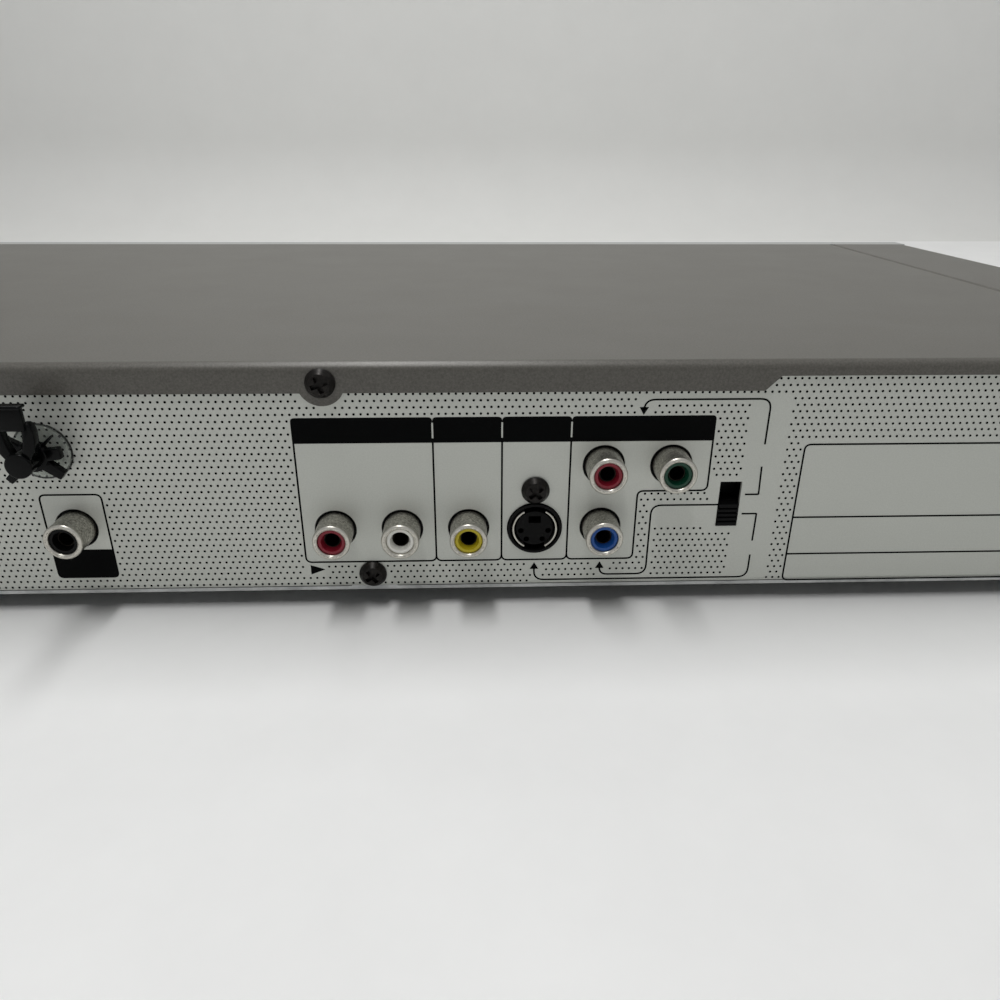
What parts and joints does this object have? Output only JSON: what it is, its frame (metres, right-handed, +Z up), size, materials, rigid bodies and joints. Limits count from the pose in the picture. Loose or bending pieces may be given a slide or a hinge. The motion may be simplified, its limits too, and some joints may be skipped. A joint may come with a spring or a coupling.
{
  "type": "disc player",
  "caption": "Slim component disc player with a motor-driven tray behind the front panel, belt and gear loader, swinging traverse and rear sockets.",
  "frame": {"origin": "centre of the footprint on the surface that the feet stand on", "axes": "+Z up, -Y towards the tray and buttons, +Y towards the rear sockets"},
  "size_m": [0.434, 0.2187, 0.055],
  "materials": {
    "cover_paint": "fine satin",
    "panel_paint": "satin",
    "zinc_steel": "plated",
    "front_plastic": "satin silver",
    "smoked_acrylic": "polished",
    "foot_plastic": "matt",
    "nickel": "satin nickel",
    "red_plastic": "moulded",
    "white_plastic": "moulded",
    "yellow_plastic": "moulded",
    "blue_plastic": "moulded",
    "green_plastic": "moulded",
    "black_plastic": "moulded",
    "clear_vinyl": "clear",
    "black_nylon": "moulded",
    "circuit_board": "lacquered",
    "chip_plastic": "moulded",
    "capacitor_sleeve": "shrink sleeve",
    "ferrite": "matt",
    "extruded_aluminium": "satin",
    "cable_plastic": "flexible",
    "black_steel": "black plated",
    "display_glass": "dark glass",
    "loader_plastic": "moulded",
    "tray_plastic": "fine grain",
    "acetal": "moulded",
    "belt_rubber": "matt",
    "motor_steel": "plated",
    "clamper_plastic": "moulded",
    "cast_alloy": "die cast"
  },
  "bodies": {
    "case": {"top_cover": "cover_paint", "rear_panel": "panel_paint", "bottom_chassis": "zinc_steel", "clamp_bridge": "zinc_steel", "inner_screws": "zinc_steel", "front_panel": "front_plastic", "display_window": "smoked_acrylic", "feet": "foot_plastic", "jack_shells": "nickel", "svideo_shield": "nickel", "inlet_pins": "nickel", "red_insert": "red_plastic", "white_insert": "white_plastic", "yellow_insert": "yellow_plastic", "blue_insert": "blue_plastic", "green_insert": "green_plastic", "black_insert": "black_plastic", "audio_jack_block": "black_plastic", "component_jack_block": "black_plastic", "coaxial_jack_block": "black_plastic", "svideo_socket": "black_plastic", "switch_body": "black_plastic", "mains_inlet": "black_plastic", "clip_cup": "clear_vinyl", "cable_clip": "black_nylon", "main_board": "circuit_board", "power_board": "circuit_board", "front_board": "circuit_board", "board_chips": "chip_plastic", "key_switches": "chip_plastic", "capacitors": "capacitor_sleeve", "power_transformer": "ferrite", "heat_sink": "extruded_aluminium", "ribbon_cable": "cable_plastic", "black_screws": "black_steel", "display_module": "display_glass", "loader_frame": "loader_plastic", "drive_belt": "belt_rubber", "loading_motor": "motor_steel"},
    "tray": {"disc_tray": "tray_plastic", "tray_door": "front_plastic"},
    "tray_gear": {"tray_gear": "acetal"},
    "pulley_gear": {"pulley_gear": "acetal"},
    "motor_pulley": {"motor_pulley": "acetal"},
    "cam_slider": {"cam_slider": "acetal"},
    "traverse": {"traverse_frame": "loader_plastic", "guide_rods": "motor_steel", "spindle_motor": "motor_steel", "feed_motor": "motor_steel"},
    "turntable": {"turntable": "motor_steel"},
    "clamper": {"clamper": "clamper_plastic"},
    "sled": {"pickup_sled": "cast_alloy"},
    "feed_gear": {"feed_gear": "acetal"},
    "feed_pinion": {"feed_pinion": "acetal"},
    "power_button": {"power_button": "front_plastic"},
    "open_close_button": {"open_close_button": "front_plastic"},
    "play_button": {"play_button": "front_plastic"},
    "stop_button": {"stop_button": "front_plastic"},
    "skip_rocker": {"skip_rocker": "front_plastic"},
    "switch_slider": {"switch_slider": "black_plastic"}
  },
  "joints": [
    {"name": "tray_slide", "type": "slide", "parent": "case", "child": "tray", "axis": [0, -1, 0], "range_m": [0, 0.13]},
    {"name": "tray_gear_spin", "type": "hinge", "parent": "case", "child": "tray_gear", "pos_m": [-0.085, -0.0793, 0.019], "axis": [0, 0, 1], "range_deg": [0, 745.6]},
    {"name": "pulley_gear_spin", "type": "hinge", "parent": "case", "child": "pulley_gear", "pos_m": [-0.0674, -0.0793, 0.019], "axis": [0, 0, 1], "range_deg": [-1597.7, 0]},
    {"name": "motor_pulley_spin", "type": "hinge", "parent": "case", "child": "motor_pulley", "pos_m": [-0.0294, -0.0793, 0.019], "axis": [0, 0, 1], "range_deg": [-4941.7, 0]},
    {"name": "traverse_lift", "type": "hinge", "parent": "case", "child": "traverse", "pos_m": [-0.045, 0.048, 0.02], "axis": [1, 0, 0], "range_deg": [0, 6]},
    {"name": "cam_slide", "type": "slide", "parent": "case", "child": "cam_slider", "axis": [1, 0, 0], "range_m": [0, 0.02281]},
    {"name": "turntable_spin", "type": "hinge", "parent": "traverse", "child": "turntable", "pos_m": [-0.045, -0.0407, 0.037], "axis": [0, 0, 1], "continuous": true},
    {"name": "clamper_spin", "type": "hinge", "parent": "case", "child": "clamper", "pos_m": [-0.045, -0.0407, 0.041], "axis": [0, 0, 1], "continuous": true},
    {"name": "sled_slide", "type": "slide", "parent": "traverse", "child": "sled", "axis": [0, 1, 0], "range_m": [0, 0.034]},
    {"name": "feed_gear_spin", "type": "hinge", "parent": "traverse", "child": "feed_gear", "pos_m": [-0.01074, 0.008, 0.024], "axis": [0, 0, 1], "range_deg": [-464.3, 0]},
    {"name": "feed_pinion_spin", "type": "hinge", "parent": "traverse", "child": "feed_pinion", "pos_m": [-0.00776, -0.00311, 0.024], "axis": [0, 0, 1], "range_deg": [0, 1061.2]},
    {"name": "skip_rock", "type": "hinge", "parent": "case", "child": "skip_rocker", "pos_m": [0.164, -0.1035, 0.022], "axis": [0, 0, 1], "range_deg": [-2.5, 2.5], "stiffness_Nm_per_rad": 0.04},
    {"name": "switch_slide", "type": "slide", "parent": "case", "child": "switch_slider", "axis": [0, 0, 1], "range_m": [0, 0.005]},
    {"name": "power_press", "type": "slide", "parent": "case", "child": "power_button", "axis": [0, 1, 0], "range_m": [0, 0.0008], "stiffness_N_per_m": 300, "springref_m": -0.0015},
    {"name": "open_close_press", "type": "slide", "parent": "case", "child": "open_close_button", "axis": [0, 1, 0], "range_m": [0, 0.0008], "stiffness_N_per_m": 300, "springref_m": -0.0015},
    {"name": "play_press", "type": "slide", "parent": "case", "child": "play_button", "axis": [0, 1, 0], "range_m": [0, 0.0008], "stiffness_N_per_m": 300, "springref_m": -0.0015},
    {"name": "stop_press", "type": "slide", "parent": "case", "child": "stop_button", "axis": [0, 1, 0], "range_m": [0, 0.0008], "stiffness_N_per_m": 300, "springref_m": -0.0015}
  ],
  "couplings": [
    {"joint": "tray_gear_spin", "follows": "tray_slide", "rad_per_m": 100},
    {"joint": "pulley_gear_spin", "follows": "tray_slide", "rad_per_m": -214.29},
    {"joint": "motor_pulley_spin", "follows": "tray_slide", "rad_per_m": -662.79},
    {"joint": "cam_slide", "follows": "traverse_lift", "m_per_rad": 0.2176},
    {"joint": "clamper_spin", "follows": "turntable_spin", "ratio": 1},
    {"joint": "feed_gear_spin", "follows": "sled_slide", "rad_per_m": -238.1},
    {"joint": "feed_pinion_spin", "follows": "sled_slide", "rad_per_m": 544.22}
  ]
}
